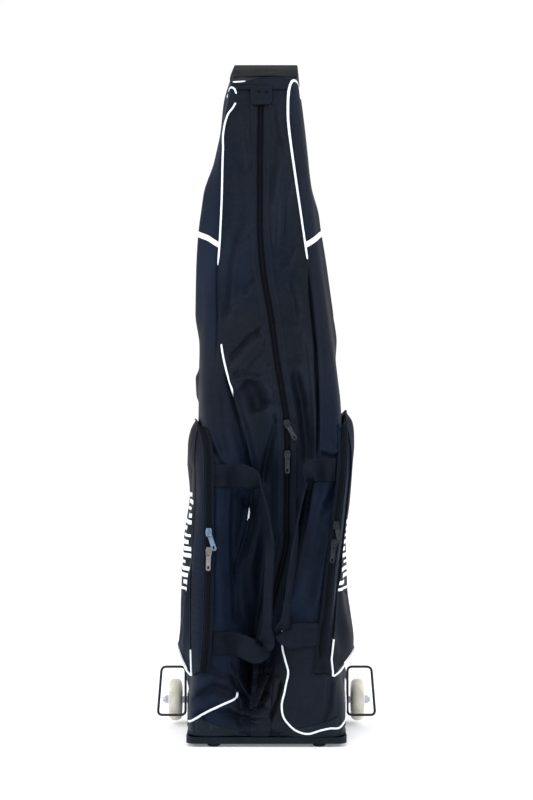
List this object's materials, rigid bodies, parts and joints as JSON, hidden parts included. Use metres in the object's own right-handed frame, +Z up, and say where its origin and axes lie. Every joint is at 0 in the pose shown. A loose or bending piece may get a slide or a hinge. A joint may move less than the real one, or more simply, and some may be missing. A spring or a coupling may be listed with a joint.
{
  "type": "wheeled fencing bag",
  "caption": "Tall soft bag for fencing gear that stands on a rigid base, with zipped side pockets, webbing handles and guarded wheels.",
  "frame": {"origin": "on the floor under the middle of the bag's box", "axes": "+Z up along the bag, -Y out of the zipped front, +X towards the viewer's right"},
  "size_m": [0.3952, 0.2821, 1.2001],
  "materials": {
    "nylon": "satin woven nylon",
    "webbing": "woven webbing",
    "zip_tape": "matte tape",
    "reflective_white": "reflective",
    "board": "matte",
    "tray_plastic": "moulded, satin",
    "rubber": "matte",
    "painted_steel": "semi-gloss black",
    "zinc": "zinc plated",
    "zip_metal": "dark nickel",
    "urethane": "satin urethane",
    "hub_plastic": "moulded"
  },
  "bodies": {
    "bag": {"base_tray": "tray_plastic", "foot_front_left": "rubber", "foot_front_right": "rubber", "foot_rear_left": "rubber", "foot_rear_right": "rubber", "back_panel": "nylon", "back_board": "board", "side_panel_left": "nylon", "side_panel_right": "nylon", "front_panel_left": "nylon", "front_panel_right": "nylon", "top_end_panel": "nylon", "main_zip_tape_left": "zip_tape", "main_zip_tape_right": "zip_tape", "main_zip_coil": "zip_tape", "pocket_left": "nylon", "pocket_zip_left": "zip_tape", "pocket_right": "nylon", "pocket_zip_right": "zip_tape", "piping_left": "reflective_white", "piping_right": "reflective_white", "grab_handle": "webbing", "reflective_band_left": "reflective_white", "reflective_band_right": "reflective_white", "axle_bolt_left": "zinc", "spacer_left": "zinc", "washer_left": "zinc", "axle_nut_left": "zinc", "axle_bracket_left": "painted_steel", "guard_hoop_left": "painted_steel", "axle_bolt_right": "zinc", "spacer_right": "zinc", "washer_right": "zinc", "axle_nut_right": "zinc", "axle_bracket_right": "painted_steel", "guard_hoop_right": "painted_steel"},
    "wheel_left": {"tyre_left": "urethane", "hub_left": "hub_plastic", "bearing_inner_left": "zinc", "bearing_outer_left": "zinc"},
    "wheel_right": {"tyre_right": "urethane", "hub_right": "hub_plastic", "bearing_inner_right": "zinc", "bearing_outer_right": "zinc"},
    "main_upper_slider": {"main_upper_slider": "zip_metal"},
    "main_upper_puller": {"main_upper_puller": "zip_metal"},
    "main_lower_slider": {"main_lower_slider": "zip_metal"},
    "main_lower_puller": {"main_lower_puller": "zip_metal"},
    "pocket_left_upper_slider": {"pocket_left_upper_slider": "zip_metal"},
    "pocket_left_upper_puller": {"pocket_left_upper_puller": "zip_metal"},
    "pocket_left_lower_slider": {"pocket_left_lower_slider": "zip_metal"},
    "pocket_left_lower_puller": {"pocket_left_lower_puller": "zip_metal"},
    "pocket_right_upper_slider": {"pocket_right_upper_slider": "zip_metal"},
    "pocket_right_upper_puller": {"pocket_right_upper_puller": "zip_metal"},
    "pocket_right_lower_slider": {"pocket_right_lower_slider": "zip_metal"},
    "pocket_right_lower_puller": {"pocket_right_lower_puller": "zip_metal"},
    "handle_left": {"handle_left": "webbing"},
    "handle_right": {"handle_right": "webbing"},
    "zip_tab": {"zip_tab": "nylon"}
  },
  "joints": [
    {"name": "wheel_left_spin", "type": "hinge", "parent": "bag", "child": "wheel_left", "pos_m": [-0.166, 0.103, 0.043], "axis": [1, 0, 0], "continuous": true},
    {"name": "wheel_right_spin", "type": "hinge", "parent": "bag", "child": "wheel_right", "pos_m": [0.166, 0.103, 0.043], "axis": [1, 0, 0], "continuous": true},
    {"name": "main_upper_zip_slide", "type": "slide", "parent": "bag", "child": "main_upper_slider", "axis": [-0.152, 0.1374, 0.9788], "range_m": [0, 0.238]},
    {"name": "main_upper_puller_swing", "type": "hinge", "parent": "main_upper_slider", "child": "main_upper_puller", "pos_m": [0.0355, -0.07577, 0.5492], "axis": [-0.9884, -0.0211, -0.1505], "range_deg": [0, 140]},
    {"name": "main_lower_zip_slide", "type": "slide", "parent": "bag", "child": "main_lower_slider", "axis": [-0.0046, 0.0575, -0.9983], "range_m": [0, 0.155]},
    {"name": "main_lower_puller_swing", "type": "hinge", "parent": "main_lower_slider", "child": "main_lower_puller", "pos_m": [0.03608, -0.07403, 0.4955], "axis": [-1, -0.0003, 0.0046], "range_deg": [0, 140]},
    {"name": "pocket_left_upper_zip_slide", "type": "slide", "parent": "bag", "child": "pocket_left_upper_slider", "axis": [-0.0047, 0.0529, 0.9986], "range_m": [0, 0.09]},
    {"name": "pocket_left_upper_puller_swing", "type": "hinge", "parent": "pocket_left_upper_slider", "child": "pocket_left_upper_puller", "pos_m": [-0.0985, -0.11745, 0.3646], "axis": [-1, -0.0002, -0.0047], "range_deg": [0, 140]},
    {"name": "pocket_left_lower_zip_slide", "type": "slide", "parent": "bag", "child": "pocket_left_lower_slider", "axis": [-0.0312, 0.0068, -0.9995], "range_m": [0, 0.18]},
    {"name": "pocket_left_lower_puller_swing", "type": "hinge", "parent": "pocket_left_lower_slider", "child": "pocket_left_lower_puller", "pos_m": [-0.09843, -0.11807, 0.33203], "axis": [-0.9995, -0.0002, 0.0312], "range_deg": [0, 140]},
    {"name": "pocket_right_upper_zip_slide", "type": "slide", "parent": "bag", "child": "pocket_right_upper_slider", "axis": [0.1159, 0.126, 0.9852], "range_m": [0, 0.075]},
    {"name": "pocket_right_upper_puller_swing", "type": "hinge", "parent": "pocket_right_upper_slider", "child": "pocket_right_upper_puller", "pos_m": [0.11903, -0.11664, 0.37638], "axis": [-0.9933, 0.0147, 0.1149], "range_deg": [0, 140]},
    {"name": "pocket_right_lower_zip_slide", "type": "slide", "parent": "bag", "child": "pocket_right_lower_slider", "axis": [-0.1271, -0.0131, -0.9918], "range_m": [0, 0.145]},
    {"name": "pocket_right_lower_puller_swing", "type": "hinge", "parent": "pocket_right_lower_slider", "child": "pocket_right_lower_puller", "pos_m": [0.11534, -0.11915, 0.34505], "axis": [-0.9919, 0.0017, 0.1271], "range_deg": [0, 140]},
    {"name": "handle_left_swing", "type": "hinge", "parent": "bag", "child": "handle_left", "pos_m": [-0.059, -0.08828, 0.3165], "axis": [0, -0.0233, -0.9997], "range_deg": [0, 68]},
    {"name": "handle_right_swing", "type": "hinge", "parent": "bag", "child": "handle_right", "pos_m": [0.0755, -0.09826, 0.3295], "axis": [0.0953, 0.0801, 0.9922], "range_deg": [0, 72]},
    {"name": "zip_tab_lift", "type": "hinge", "parent": "bag", "child": "zip_tab", "pos_m": [-0.008, 0.01312, 1.148], "axis": [-1, 0, 0], "range_deg": [0, 110]}
  ]
}
